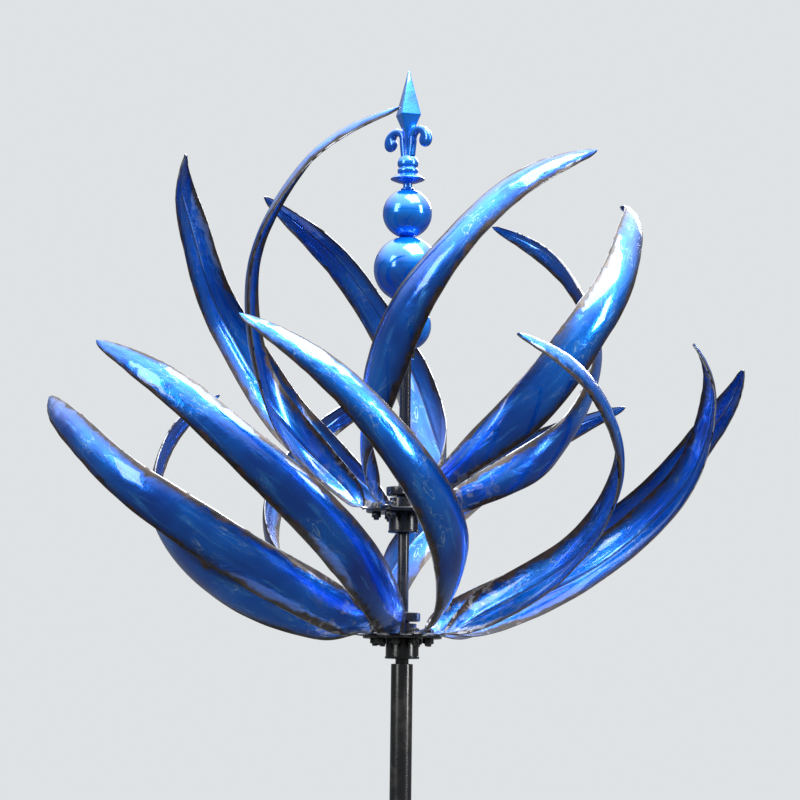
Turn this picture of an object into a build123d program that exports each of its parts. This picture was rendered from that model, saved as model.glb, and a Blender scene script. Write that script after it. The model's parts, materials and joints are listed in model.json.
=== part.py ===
from build123d import *
from math import cos, radians, sin, sqrt
import os

# Kinetic wind sculpture: two rotors of trough-shaped sheet-metal petals turn
# independently, and in opposite hands, on ball bearings around one fixed rod.
# The rod stands in a sectional tube on a pronged ground stake and carries three
# hollow balls and a fleur-de-lis finial.
#
# Millimetres, +Z up, origin on the pole's axis at ground level.

# --- overall heights -------------------------------------------------------
PRONG_DEPTH = 200.0          # how far the stake's outer prongs go into the ground
LOWER_WHEEL_Z = 1431.0       # mid-thickness of the lower rotor's hub plate
UPPER_WHEEL_Z = LOWER_WHEEL_Z + 110.0
TUBE_TOP_Z = LOWER_WHEEL_Z - 23.6

# --- pole ------------------------------------------------------------------
TUBE_R = 9.5
TUBE_WALL = 1.5
TUBE_BOTTOM_Z = 4.0
TUBE_JOINTS_Z = (475.0, 940.0)
JOINT_GAP = 0.4
SLEEVE_WALL = 1.5
SLEEVE_LENGTH = 110.0
PLUG_LENGTH = 60.0
SLIP_FIT = 0.1               # radial play of parts that are pushed together by hand
PLUG_FLOOR = 3.0
SCREW_SIDE = 90.0            # azimuth of the cross screws' heads
POLE_SCREW_R = 2.0
POLE_SCREW_HEAD_R = 3.6
POLE_SCREW_HEAD = 2.2

# --- ground stake ----------------------------------------------------------
PRONGS = 4
PRONG_R = 4.0
PRONG_REACH = 80.0           # pole axis to prong axis
PRONG_POINT = 22.0
PRONG_BEND_R = 16.0
FIRST_PRONG = 45.0
TIP_R = 0.6                  # blunted points of prongs and spike
SPIKE_R = 8.0
SPIKE_DEPTH = 180.0
SPIKE_POINT = 26.0
SOCKET_WALL = 2.5
SOCKET_TOP_Z = 75.0
SOCKET_SCREW_Z = 55.0

# --- rod -------------------------------------------------------------------
ROD_R = 5.0
ROD_TOP_Z = LOWER_WHEEL_Z + 392.0
SPACER_R = 5.8               # sleeve on the rod between the tube and the lower hub
CIRCLIP = 1.0                # thickness of every retaining ring
ROD_GROOVE_R = 4.6

# --- hubs, all heights measured from the plate's mid-thickness --------------
PLATE = 3.0
HOUSING_BOTTOM = -19.0
HOUSING_TOP = 11.5
HOUSING_NECK_R = 12.3
HOUSING_BORE_R = 7.6
LIP = 1.8
LIP_PROUD = 0.6
POCKET_RECESS = 2.6          # from the housing's face to the bearing's face
BEARING_R = 9.5
BEARING_WIDTH = 5.0
RACE_SHOULDER = 0.9          # radial step that holds the outer race
INNER_RACE_R = 6.35
OUTER_RACE_R = 8.15
BEARING_BALL_R = 1.4
BEARING_BALLS = 11
BALL_PLAY = 0.04
COLLAR_R = 15.5
COLLAR_BOTTOM = 13.5
COLLAR_TOP = 21.0
COLLAR_BOSS_R = 6.3
GRUB_SCREW_R = 2.0
GRUB_SCREW_SUNK = 1.0

# --- petal fastenings -------------------------------------------------------
BOLT_CIRCLE_R = 24.0
BOLT_R = 2.5
BOLT_HOLE_R = 2.6
BOLT_ACROSS_FLATS = 8.0
BOLT_HEAD = 3.5
WASHER_R = 4.8
WASHER = 0.8
NUT = 4.4
BOLT_TAIL = 2.2

# --- petals -----------------------------------------------------------------
SHEET = 1.2
TAB_HALF_WIDTH = 5.5
TAB_FLATS = (3.0, 1.5, 0.0)  # flat sections this far inside the tab's end
BEND_SHARE = 0.14            # share of the petal over which its root is bent to set it
TROUGH_SHARE = 0.15          # share over which the flat root deepens to a trough
STEPS = 60
SECTION_STEPS = (2, 4, 6, 8, 11, 14, 18, 22, 27, 32, 37, 42, 47, 52, 56, 60)

# Shares of the petal's length at which its path, roll and width are given.
PATH_AT = (0.0, 0.12, 0.30, 0.50, 0.75, 1.0)
ROLL_AT = (0.0, 0.12, 0.35, 0.65, 1.0)
WIDTH_AT = (0.0, 0.12, 0.35, 0.60, 0.82, 1.0)

# A petal's flat tab ends just outside the plate's edge, where its path begins. Each
# petal was set by hand: degrees it is swung on its bolt, lifted and leaned.
LOWER_WHEEL = dict(
    name="lower",
    z=LOWER_WHEEL_Z,
    plate_r=34.5,
    housing_r=14.4,
    hand=-1,
    first_azimuth=296.0,
    reach=(37.8, 62.0, 155.0, 233.0, 281.0, 301.0),
    sweep=(0.0, 0.0, 6.0, 18.0, 35.0, 50.0),
    rise=(2.1, 14.0, 56.0, 118.0, 193.0, 234.0),
    roll=(0.0, -53.0, -47.0, -50.0, -53.0),
    half_width=(TAB_HALF_WIDTH, 17.5, 21.5, 17.0, 11.5, 2.5),
    trough=0.30,
    settings=(
        (8, -2, 5), (-6, 1, 0), (-10, 1, -6), (8, -7, 7), (-4, 3, 3),
        (-5, 4, -4), (12, -2, 2), (3, 1, 0), (-5, 4, -4),
    ),
)
UPPER_WHEEL = dict(
    name="upper",
    z=UPPER_WHEEL_Z,
    plate_r=33.0,
    housing_r=13.0,
    hand=1,
    first_azimuth=182.0,
    reach=(36.3, 49.0, 130.0, 181.0, 196.0, 204.0),
    sweep=(0.0, 0.0, 16.0, 30.0, 51.0, 75.0),
    rise=(2.1, 14.0, 77.0, 167.0, 256.0, 302.0),
    roll=(0.0, -78.0, -34.0, -38.0, -14.0),
    half_width=(TAB_HALF_WIDTH, 11.5, 21.5, 16.5, 12.0, 2.5),
    trough=0.35,
    settings=(
        (-1, 7.5, 8), (-1, 1, -2), (3, 4, -4), (0, -7, -2), (3, -5, 2), (0, 1, 0),
    ),
)

# --- ornament, heights measured from the lower hub plate ---------------------
BALL_RADII = (22.2, 29.2, 21.8)          # bottom to top
BALL_WALL = 1.2
BALL_HOLE_R = ROD_R + SLIP_FIT
BALL_STACK_BOTTOM = 252.4
SEAT_NUT = 8.0
SEAT_NUT_ACROSS_FLATS = 16.0
FINIAL_NECK_R = 4.0
FINIAL_STUD_R = 2.5
FINIAL_STUD_LENGTH = 14.0                # how far the stud screws into the rod
FINIAL_STUD_HOLE = 16.0
FINIAL_FLANGE_R = 6.2                    # bears on the upper ball
FINIAL_FLANGE = 1.0
SAUCER_R = 15.5
SAUCER_BOTTOM = 402.0
SAUCER_TOP = 410.0
RING_R = 9.2
RING_BASE_TOP = 426.0
SPEAR_TOP = 503.0
SPEAR_WIDEST = 463.0
SPEAR_NECK = 447.0
SPEAR_SIDE = 18.0
SPEAR_NECK_SIDE = 7.0
SPEAR_AZIMUTH = -72.0                    # the way one flat face looks
SCROLL_AZIMUTH = -42.0
SCROLL_THICKNESS = 6.2
SCROLL_WIDTH = 7.4
SCROLL_END = (19.9, 11.7)                # radius and height of the round end
SCROLL_END_R = 6.4

BASE = (Align.CENTER, Align.CENTER, Align.MIN)
os.makedirs("parts", exist_ok=True)


def save(name, *solids):
    """Write one node, its solids kept separate."""
    export_step(Compound(children=list(solids)) if len(solids) > 1 else solids[0],
                f"parts/{name}.step")


def disc(radius, bottom, top):
    return Pos(0, 0, bottom) * Cylinder(radius, top - bottom, align=BASE)


def ring(outer, inner, bottom, top):
    return disc(outer, bottom, top) - disc(inner, bottom - 1, top + 1)


def hexagon(across_flats, bottom, top):
    profile = RegularPolygon(across_flats / 2, 6, major_radius=False)
    return Pos(0, 0, bottom) * extrude(profile, top - bottom)


def turned(outline):
    """A turned piece from its (radius, height) outline."""
    face = make_face(Polyline([(r, 0, z) for r, z in outline], close=True))
    return revolve(face, Axis.Z)


def around(solid, count, first_azimuth):
    return [Rot(0, 0, first_azimuth + k * 360 / count) * solid for k in range(count)]


def sideways(z, azimuth):
    """Turns a piece that stands on the pole's axis so that it points out at azimuth."""
    return Pos(0, 0, z) * Rot(0, 0, azimuth) * Rot(0, 90, 0)


def cross_screw(z, outer_r, inner_r):
    """A pan-head screw whose head lies on outer_r and whose shank ends at inner_r."""
    screw = disc(POLE_SCREW_R, inner_r, outer_r)
    screw += disc(POLE_SCREW_HEAD_R, outer_r, outer_r + POLE_SCREW_HEAD)
    return sideways(z, SCREW_SIDE) * screw


def cross_hole(z, outer_r, inner_r):
    return sideways(z, SCREW_SIDE) * disc(POLE_SCREW_R, inner_r, outer_r)


def circlip(inner, outer, bottom, azimuth):
    """A retaining ring with its opening at azimuth."""
    opening = Pos((inner + outer) / 2, 0, bottom - 1) * Box(
        2 * (outer - inner), (inner + outer) / 4, CIRCLIP + 2, align=BASE)
    return ring(outer, inner, bottom, bottom + CIRCLIP) - Rot(0, 0, azimuth) * opening


# --- petals -------------------------------------------------------------------
def smooth(at, values, u):
    """Smooth curve through values given at the shares in at, read at share u."""
    last = len(at) - 1
    gaps = [at[i + 1] - at[i] for i in range(last)]
    climbs = [(values[i + 1] - values[i]) / gaps[i] for i in range(last)]
    slopes = [0.0] * (last + 1)
    for i in range(1, last):
        slopes[i] = (climbs[i - 1] * gaps[i] + climbs[i] * gaps[i - 1]) / (gaps[i - 1] + gaps[i])
    slopes[0] = 1.5 * climbs[0] - 0.5 * slopes[1]
    slopes[last] = 1.5 * climbs[last - 1] - 0.5 * slopes[last - 1]
    i = min(sum(1 for a in at[1:] if u >= a), last - 1)
    q = (u - at[i]) / gaps[i]
    ends = values[i] * (1 + 2 * q) * (1 - q) ** 2 + values[i + 1] * q * q * (3 - 2 * q)
    return ends + gaps[i] * q * (1 - q) * (slopes[i] * (1 - q) - slopes[i + 1] * q)


def ease(share):
    share = min(max(share, 0.0), 1.0)
    return share * share * (3 - 2 * share)


def petal_centre(wheel, u):
    """Middle of the sheet at share u of the petal, its bolt on the +X side."""
    reach = smooth(PATH_AT, wheel["reach"], u)
    sweep = radians(smooth(PATH_AT, wheel["sweep"], u))
    return Vector(reach * cos(sweep), reach * sin(sweep), smooth(PATH_AT, wheel["rise"], u))


def petal_frames(wheel):
    """Centre, across and hollow-side directions at every step, without twist but the roll."""
    frames = []
    across = Vector(0, 1, 0)
    for step in range(STEPS + 1):
        before, after = max(step - 1, 0) / STEPS, min(step + 1, STEPS) / STEPS
        along = (petal_centre(wheel, after) - petal_centre(wheel, before)).normalized()
        across = (across - along * across.dot(along)).normalized()
        roll = radians(smooth(ROLL_AT, wheel["roll"], step / STEPS))
        up = along.cross(across)
        frames.append((petal_centre(wheel, step / STEPS),
                       across * cos(roll) + up * sin(roll),
                       up * cos(roll) - across * sin(roll)))
    return frames


def petal_section(wheel, frame, step, lift, lean):
    """The trough's closed outline at one step, with the petal's own setting bent in."""
    u = step / STEPS
    centre, across, hollow = frame
    half = smooth(WIDTH_AT, wheel["half_width"], u)
    depth = wheel["trough"] * half * ease(u / TROUGH_SHARE)
    bend = ease(u / BEND_SHARE)
    bolt = Vector(BOLT_CIRCLE_R, 0, 0)

    def point(side, level):
        p = centre + across * (side * half) - hollow * ((1 - side * side) * depth - level) - bolt
        p = p.rotate(Axis.X, lean * bend).rotate(Axis.Y, -lift * bend) + bolt
        return Vector(p.X, wheel["hand"] * p.Y, p.Z)

    outer = ThreePointArc(*(point(side, -SHEET / 2) for side in (-1, 0, 1)))
    inner = ThreePointArc(*(point(side, SHEET / 2) for side in (1, 0, -1)))
    return Face(Wire([outer, Line(outer @ 1, inner @ 0), inner, Line(inner @ 1, outer @ 0)]))


def tab_section(wheel, inset):
    """Flat section of the tab, inset from its outer end."""
    low = wheel["rise"][0] - SHEET / 2
    corners = [Vector(wheel["reach"][0] - inset, wheel["hand"] * y, z) for y, z in (
        (-TAB_HALF_WIDTH, low), (TAB_HALF_WIDTH, low),
        (TAB_HALF_WIDTH, low + SHEET), (-TAB_HALF_WIDTH, low + SHEET))]
    return Face(Wire(Polyline(corners, close=True).edges()))


def petal(wheel, swing, lift, lean):
    """One petal with its bolt hole on the +X side of the hub."""
    frames = petal_frames(wheel)
    sections = [tab_section(wheel, inset) for inset in TAB_FLATS]
    sections += [petal_section(wheel, frames[step], step, lift, lean) for step in SECTION_STEPS]
    tab_bottom = wheel["rise"][0] - SHEET / 2
    tab = Pos(BOLT_CIRCLE_R, 0, tab_bottom) * (
        Cylinder(TAB_HALF_WIDTH, SHEET, align=BASE)
        + Box(wheel["reach"][0] - TAB_FLATS[0] - BOLT_CIRCLE_R, 2 * TAB_HALF_WIDTH, SHEET,
              align=(Align.MIN, Align.CENTER, Align.MIN)))
    hole = Pos(BOLT_CIRCLE_R, 0, tab_bottom - 1) * Cylinder(BOLT_HOLE_R, SHEET + 2, align=BASE)
    whole = loft(sections) + tab - hole
    on_bolt = Pos(BOLT_CIRCLE_R, 0, 0) * Rot(0, 0, wheel["hand"] * swing) * Pos(-BOLT_CIRCLE_R, 0, 0)
    return on_bolt * whole


def make_petals(wheel):
    count = len(wheel["settings"])
    for k, (swing, lift, lean) in enumerate(wheel["settings"]):
        azimuth = wheel["first_azimuth"] + wheel["hand"] * k * 360 / count
        placed = Pos(0, 0, wheel["z"]) * Rot(0, 0, azimuth) * petal(wheel, swing, lift, lean)
        save(f"{wheel['name']}_petal_{k + 1}", placed)


# --- hubs -----------------------------------------------------------------------
def bearing_bottoms():
    """Heights of the two bearings' lower faces above the plate's middle."""
    return (HOUSING_BOTTOM + POCKET_RECESS, HOUSING_TOP - POCKET_RECESS - BEARING_WIDTH)


def make_hub(wheel):
    name, z, count = wheel["name"], wheel["z"], len(wheel["settings"])
    at_wheel = Pos(0, 0, z)
    low, high = bearing_bottoms()

    holes = around(Pos(BOLT_CIRCLE_R, 0, -PLATE) * Cylinder(BOLT_HOLE_R, 2 * PLATE, align=BASE),
                   count, wheel["first_azimuth"])
    plate = ring(wheel["plate_r"], HOUSING_NECK_R, -PLATE / 2, PLATE / 2) - holes
    save(f"{name}_hub_plate", at_wheel * plate)

    housing = disc(wheel["housing_r"], HOUSING_BOTTOM, -PLATE / 2)
    housing += disc(HOUSING_NECK_R, -PLATE / 2, HOUSING_TOP)
    housing += disc(wheel["housing_r"] + LIP_PROUD, HOUSING_BOTTOM, HOUSING_BOTTOM + LIP)
    housing -= disc(HOUSING_BORE_R, HOUSING_BOTTOM - 1, HOUSING_TOP + 1)
    housing -= disc(BEARING_R, HOUSING_BOTTOM - 1, low + BEARING_WIDTH)
    housing -= disc(BEARING_R, high, HOUSING_TOP + 1)
    clip_bottoms = (low - CIRCLIP, high + BEARING_WIDTH)
    for bottom in clip_bottoms:
        housing -= disc(BEARING_R + 0.5, bottom, bottom + CIRCLIP)
    save(f"{name}_hub_housing", at_wheel * housing)
    save(f"{name}_hub_circlips",
         *(at_wheel * circlip(BEARING_R - RACE_SHOULDER, BEARING_R + 0.5, bottom, 40 + 180 * k)
           for k, bottom in enumerate(clip_bottoms)))

    make_bearings(name, [z + low, z + high])
    make_petal_fastenings(wheel)


def make_bearings(name, bottoms):
    pitch_r = (INNER_RACE_R + OUTER_RACE_R) / 2
    groove = Pos(0, 0, BEARING_WIDTH / 2) * Torus(pitch_r, BEARING_BALL_R + BALL_PLAY)
    outer = ring(BEARING_R, OUTER_RACE_R, 0, BEARING_WIDTH) - groove
    inner = ring(INNER_RACE_R, ROD_R, 0, BEARING_WIDTH) - groove
    balls = around(Pos(pitch_r, 0, BEARING_WIDTH / 2) * Sphere(BEARING_BALL_R), BEARING_BALLS, 0)
    save(f"{name}_bearing_outer_races", *(Pos(0, 0, z) * outer for z in bottoms))
    save(f"{name}_bearing_inner_races", *(Pos(0, 0, z) * inner for z in bottoms))
    save(f"{name}_bearing_balls", *(Pos(0, 0, z) * ball for z in bottoms for ball in balls))


def make_petal_fastenings(wheel):
    """Bolt through tab and plate, washer on the tab, nut below."""
    name, count = wheel["name"], len(wheel["settings"])
    tab_top = wheel["rise"][0] + SHEET / 2
    plate_bottom = -PLATE / 2
    head_bottom = tab_top + WASHER
    bolt = hexagon(BOLT_ACROSS_FLATS, head_bottom, head_bottom + BOLT_HEAD)
    bolt += disc(BOLT_R, plate_bottom - NUT - BOLT_TAIL, head_bottom)
    washer = ring(WASHER_R, BOLT_R, tab_top, head_bottom)
    nut = hexagon(BOLT_ACROSS_FLATS, plate_bottom - NUT, plate_bottom)
    nut -= disc(BOLT_R, plate_bottom - NUT - 1, plate_bottom + 1)
    for kind, solid in (("bolts", bolt), ("washers", washer), ("nuts", nut)):
        placed = Pos(0, 0, wheel["z"]) * Pos(BOLT_CIRCLE_R, 0, 0) * solid
        save(f"{name}_petal_{kind}", *around(placed, count, wheel["first_azimuth"]))


# --- rod and what is clamped on it -------------------------------------------------
def make_rod():
    """The rod, its snap ring under the upper hub's bearings and the lower hub's spacer."""
    low, _ = bearing_bottoms()
    clip_bottom = UPPER_WHEEL_Z + low - CIRCLIP
    rod = disc(ROD_R, TUBE_TOP_Z - PLUG_LENGTH, ROD_TOP_Z)
    rod -= disc(FINIAL_STUD_R, ROD_TOP_Z - FINIAL_STUD_HOLE, ROD_TOP_Z + 1)
    rod -= ring(ROD_R + 1, ROD_GROOVE_R, clip_bottom, clip_bottom + CIRCLIP)
    save("rod", rod)
    save("rod_circlip", circlip(ROD_GROOVE_R, INNER_RACE_R, clip_bottom, SCREW_SIDE))
    save("lower_spacer", ring(SPACER_R, ROD_R, TUBE_TOP_Z, LOWER_WHEEL_Z + low))


def make_collars():
    """One collar over each hub, its boss on the bearing and a grub screw in its side."""
    _, high = bearing_bottoms()
    screws = []
    for wheel in (LOWER_WHEEL, UPPER_WHEEL):
        z = wheel["z"]
        across = sideways(z + (COLLAR_BOTTOM + COLLAR_TOP) / 2, wheel["first_azimuth"] + SCREW_SIDE)
        collar = ring(COLLAR_R, ROD_R, z + COLLAR_BOTTOM, z + COLLAR_TOP)
        collar += ring(COLLAR_BOSS_R, ROD_R, z + high + BEARING_WIDTH, z + COLLAR_BOTTOM)
        save(f"{wheel['name']}_stop_collar", collar - across * disc(GRUB_SCREW_R, 0, COLLAR_R + 1))
        screws.append(across * disc(GRUB_SCREW_R, ROD_R, COLLAR_R - GRUB_SCREW_SUNK))
    save("collar_screws", *screws)


def make_balls():
    """Three hollow balls that sit on one another where the rod's holes cut them."""
    seat = LOWER_WHEEL_Z + BALL_STACK_BOTTOM
    nut = hexagon(SEAT_NUT_ACROSS_FLATS, seat - SEAT_NUT, seat) - disc(ROD_R, seat - SEAT_NUT - 1, seat + 1)
    save("ball_seat_nut", nut)
    for label, radius in zip(("lower", "middle", "upper"), BALL_RADII):
        half_height = sqrt(radius ** 2 - BALL_HOLE_R ** 2)
        shell = Sphere(radius) - Sphere(radius - BALL_WALL) - disc(BALL_HOLE_R, -radius, radius)
        save(f"ball_{label}", Pos(0, 0, seat + half_height) * shell)
        seat += 2 * half_height
    return seat


# --- finial ---------------------------------------------------------------------------
def make_finial(ball_top):
    base = LOWER_WHEEL_Z
    saucer_bottom = base + SAUCER_BOTTOM
    saucer_top = base + SAUCER_TOP
    stud_bottom = ROD_TOP_Z - FINIAL_STUD_LENGTH
    saucer = turned([
        (0, stud_bottom), (FINIAL_STUD_R, stud_bottom), (FINIAL_STUD_R, ball_top),
        (FINIAL_FLANGE_R, ball_top), (FINIAL_FLANGE_R, ball_top + FINIAL_FLANGE),
        (FINIAL_NECK_R, ball_top + 2 * FINIAL_FLANGE), (FINIAL_NECK_R, saucer_bottom - 0.6),
        (0.55 * SAUCER_R, saucer_bottom), (SAUCER_R - 0.8, saucer_bottom + 2.4),
        (SAUCER_R, saucer_bottom + 3.2), (SAUCER_R - 0.8, saucer_bottom + 4.0),
        (0.75 * SAUCER_R, saucer_bottom + 5.8), (RING_R - 0.6, saucer_top),
        (0, saucer_top),
    ])
    save("finial_saucer", saucer)

    height = RING_BASE_TOP - SAUCER_TOP
    middle = saucer_top + 0.34 * height
    rings = turned([
        (0, saucer_top), (RING_R - 0.6, saucer_top), (RING_R, saucer_top + 0.10 * height),
        (RING_R, saucer_top + 0.24 * height), (RING_R - 1.8, middle), (RING_R, saucer_top + 0.44 * height),
        (RING_R + 0.1, saucer_top + 0.66 * height), (RING_R - 1.2, saucer_top + 0.86 * height),
        (RING_R - 3.4, saucer_top + height), (0, saucer_top + height),
    ])
    save("finial_rings", rings)

    spear_foot = base + RING_BASE_TOP
    levels = ((spear_foot, SPEAR_NECK_SIDE * 0.9), (base + SPEAR_NECK, SPEAR_NECK_SIDE),
              (base + SPEAR_WIDEST, SPEAR_SIDE), (base + SPEAR_TOP, 1.2))
    spear = loft([Pos(0, 0, z) * Rectangle(side, side) for z, side in levels], ruled=True)
    save("finial_spear", Rot(0, 0, SPEAR_AZIMUTH) * spear)

    for label, azimuth in (("right", SCROLL_AZIMUTH), ("left", SCROLL_AZIMUTH + 180)):
        scroll = Pos(0, 0, spear_foot) * Rot(0, 0, azimuth) * finial_scroll()
        save(f"finial_scroll_{label}", scroll - Rot(0, 0, SPEAR_AZIMUTH) * spear)


def finial_scroll():
    """A strap that rises beside the spear, rolls over outwards and ends in a round."""
    foot, shoulder, crown, outside = (3.6, 0.0), (5.4, 14.0), (13.3, 22.9), (20.8, 12.8)
    path = Line(foot, shoulder) + ThreePointArc(shoulder, crown, outside)
    face = trace(path, SCROLL_THICKNESS) + Pos(*SCROLL_END) * Circle(SCROLL_END_R)
    lowered = face - Pos(0, -SCROLL_THICKNESS) * Rectangle(60, 2 * SCROLL_THICKNESS)
    return Rot(90, 0, 0) * extrude(lowered, SCROLL_WIDTH / 2, both=True)


# --- pole and ground stake -------------------------------------------------------------
def make_pole():
    """Three tubes joined by inner sleeves, a plug for the rod and the stake's socket."""
    inner_r = TUBE_R - TUBE_WALL
    sleeve_r = inner_r - SLIP_FIT
    socket_r = TUBE_R + SLIP_FIT
    screws = [(SOCKET_SCREW_Z, socket_r + SOCKET_WALL, inner_r),
              (TUBE_TOP_Z - PLUG_LENGTH / 2, TUBE_R, ROD_R)]
    for joint_z in TUBE_JOINTS_Z:
        for side in (-1, 1):
            screws.append((joint_z + side * SLEEVE_LENGTH / 4, TUBE_R, sleeve_r - SLEEVE_WALL))
    holes = [cross_hole(*screw) for screw in screws]

    bounds = (TUBE_BOTTOM_Z, *TUBE_JOINTS_Z, TUBE_TOP_Z)
    for k, label in enumerate(("lower", "middle", "upper")):
        bottom = bounds[k] + (JOINT_GAP if k else 0)
        save(f"pole_{label}", ring(TUBE_R, inner_r, bottom, bounds[k + 1]) - holes)
    save("pole_sleeves", *(ring(sleeve_r, sleeve_r - SLEEVE_WALL, z - SLEEVE_LENGTH / 2,
                                z + SLEEVE_LENGTH / 2) - holes for z in TUBE_JOINTS_Z))
    plug = disc(sleeve_r, TUBE_TOP_Z - PLUG_LENGTH - PLUG_FLOOR, TUBE_TOP_Z)
    save("pole_plug", plug - disc(ROD_R, TUBE_TOP_Z - PLUG_LENGTH, TUBE_TOP_Z + 1) - holes)
    save("pole_screws", *(cross_screw(*screw) for screw in screws))
    save("stake_socket", ring(socket_r + SOCKET_WALL, socket_r, 0, SOCKET_TOP_Z) - holes
         + disc(socket_r, 0, TUBE_BOTTOM_Z))


def prong():
    """A round bar that leaves the socket level and bends down to a point."""
    bar_z = PRONG_R
    foot_z = -PRONG_DEPTH + PRONG_POINT
    bend_r = PRONG_REACH - PRONG_BEND_R
    level = Pos(0, 0, bar_z) * Rot(0, 90, 0) * disc(PRONG_R, 0, bend_r)
    bend = Pos(bend_r, 0, bar_z - PRONG_BEND_R) * Rot(90, 0, 0) * revolve(
        Plane.XZ * Pos(PRONG_BEND_R, 0) * Circle(PRONG_R), Axis.Z, 90)
    upright = Pos(PRONG_REACH, 0, 0) * disc(PRONG_R, foot_z, bar_z - PRONG_BEND_R)
    tip = Pos(PRONG_REACH, 0, foot_z) * Rot(180, 0, 0) * Cone(PRONG_R, TIP_R, PRONG_POINT, align=BASE)
    return level + bend + upright + tip


def make_stake():
    socket_outer_r = TUBE_R + SLIP_FIT + SOCKET_WALL
    welded = prong() - disc(socket_outer_r, -PRONG_DEPTH, SOCKET_TOP_Z)
    save("stake_prongs", *around(welded, PRONGS, FIRST_PRONG))
    spike = disc(SPIKE_R, SPIKE_POINT - SPIKE_DEPTH, 0)
    spike += Pos(0, 0, SPIKE_POINT - SPIKE_DEPTH) * Rot(180, 0, 0) * Cone(
        SPIKE_R, TIP_R, SPIKE_POINT, align=BASE)
    save("stake_spike", spike)


make_petals(LOWER_WHEEL)
make_petals(UPPER_WHEEL)
make_hub(LOWER_WHEEL)
make_hub(UPPER_WHEEL)
make_rod()
make_collars()
make_finial(make_balls())
make_pole()
make_stake()
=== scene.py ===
import bpy
import json
from math import cos, pi, radians, sin, sqrt
from mathutils import Matrix, Vector, noise


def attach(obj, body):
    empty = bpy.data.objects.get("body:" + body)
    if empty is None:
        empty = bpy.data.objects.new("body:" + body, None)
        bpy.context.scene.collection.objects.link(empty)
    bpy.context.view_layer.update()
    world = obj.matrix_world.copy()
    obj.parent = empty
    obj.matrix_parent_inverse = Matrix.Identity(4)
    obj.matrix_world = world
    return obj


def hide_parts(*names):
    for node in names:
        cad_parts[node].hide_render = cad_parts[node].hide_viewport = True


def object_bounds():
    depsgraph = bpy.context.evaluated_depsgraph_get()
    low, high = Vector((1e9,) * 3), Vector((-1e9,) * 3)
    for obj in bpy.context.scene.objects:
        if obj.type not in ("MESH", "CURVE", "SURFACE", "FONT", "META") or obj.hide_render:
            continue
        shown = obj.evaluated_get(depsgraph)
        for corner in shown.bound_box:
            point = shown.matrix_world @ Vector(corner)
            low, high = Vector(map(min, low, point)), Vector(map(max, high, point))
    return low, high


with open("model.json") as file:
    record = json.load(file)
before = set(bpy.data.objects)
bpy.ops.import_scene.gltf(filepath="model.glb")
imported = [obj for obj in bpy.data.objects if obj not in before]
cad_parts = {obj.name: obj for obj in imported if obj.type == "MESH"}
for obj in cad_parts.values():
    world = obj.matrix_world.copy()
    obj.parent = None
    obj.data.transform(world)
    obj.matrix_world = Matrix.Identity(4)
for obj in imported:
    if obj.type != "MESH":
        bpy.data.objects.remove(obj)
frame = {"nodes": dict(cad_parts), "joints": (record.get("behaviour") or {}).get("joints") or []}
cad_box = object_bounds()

# Kinetic wind sculpture. Sizes are in millimetres, as in the design, and meshes are
# written in metres. Each visible node is rebuilt with its worn edges, crease, ripples,
# threads and rounded rims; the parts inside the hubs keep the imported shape.
MM = 0.001
JOINT_Z = {joint["name"]: joint["pos_m"][2] / MM for joint in frame["joints"]}

# --- sizes of the design -------------------------------------------------------
SHEET = 1.2
TAB_HALF_WIDTH = 5.5
BOLT_CIRCLE_R = 24.0
BOLT_HOLE_R = 2.6
BEND_SHARE = 0.14
TROUGH_SHARE = 0.15
PATH_AT = (0.0, 0.12, 0.30, 0.50, 0.75, 1.0)
ROLL_AT = (0.0, 0.12, 0.35, 0.65, 1.0)
WIDTH_AT = (0.0, 0.12, 0.35, 0.60, 0.82, 1.0)
LOWER_WHEEL = dict(
    name="lower",
    z=JOINT_Z["lower_wheel_spin"],
    plate_r=34.5,
    housing_r=14.4,
    hand=-1,
    first_azimuth=296.0,
    reach=(37.8, 62.0, 155.0, 233.0, 281.0, 301.0),
    sweep=(0.0, 0.0, 6.0, 18.0, 35.0, 50.0),
    rise=(2.1, 14.0, 56.0, 118.0, 193.0, 234.0),
    roll=(0.0, -53.0, -47.0, -50.0, -53.0),
    half_width=(TAB_HALF_WIDTH, 17.5, 21.5, 17.0, 11.5, 2.5),
    trough=0.30,
    settings=(
        (8, -2, 5), (-6, 1, 0), (-10, 1, -6), (8, -7, 7), (-4, 3, 3),
        (-5, 4, -4), (12, -2, 2), (3, 1, 0), (-5, 4, -4),
    ),
)
UPPER_WHEEL = dict(
    name="upper",
    z=JOINT_Z["upper_wheel_spin"],
    plate_r=33.0,
    housing_r=13.0,
    hand=1,
    first_azimuth=182.0,
    reach=(36.3, 49.0, 130.0, 181.0, 196.0, 204.0),
    sweep=(0.0, 0.0, 16.0, 30.0, 51.0, 75.0),
    rise=(2.1, 14.0, 77.0, 167.0, 256.0, 302.0),
    roll=(0.0, -78.0, -34.0, -38.0, -14.0),
    half_width=(TAB_HALF_WIDTH, 11.5, 21.5, 16.5, 12.0, 2.5),
    trough=0.35,
    settings=(
        (-1, 7.5, 8), (-1, 1, -2), (3, 4, -4), (0, -7, -2), (3, -5, 2), (0, 1, 0),
    ),
)
TUBE_R = 9.5
TUBE_WALL = 1.5
ROD_R = 5.0


# --- mesh helpers ----------------------------------------------------------------
ON_AXIS = 1e-6               # a radius below this is a point on the axis
DRILL_SIDES = 32


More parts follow.
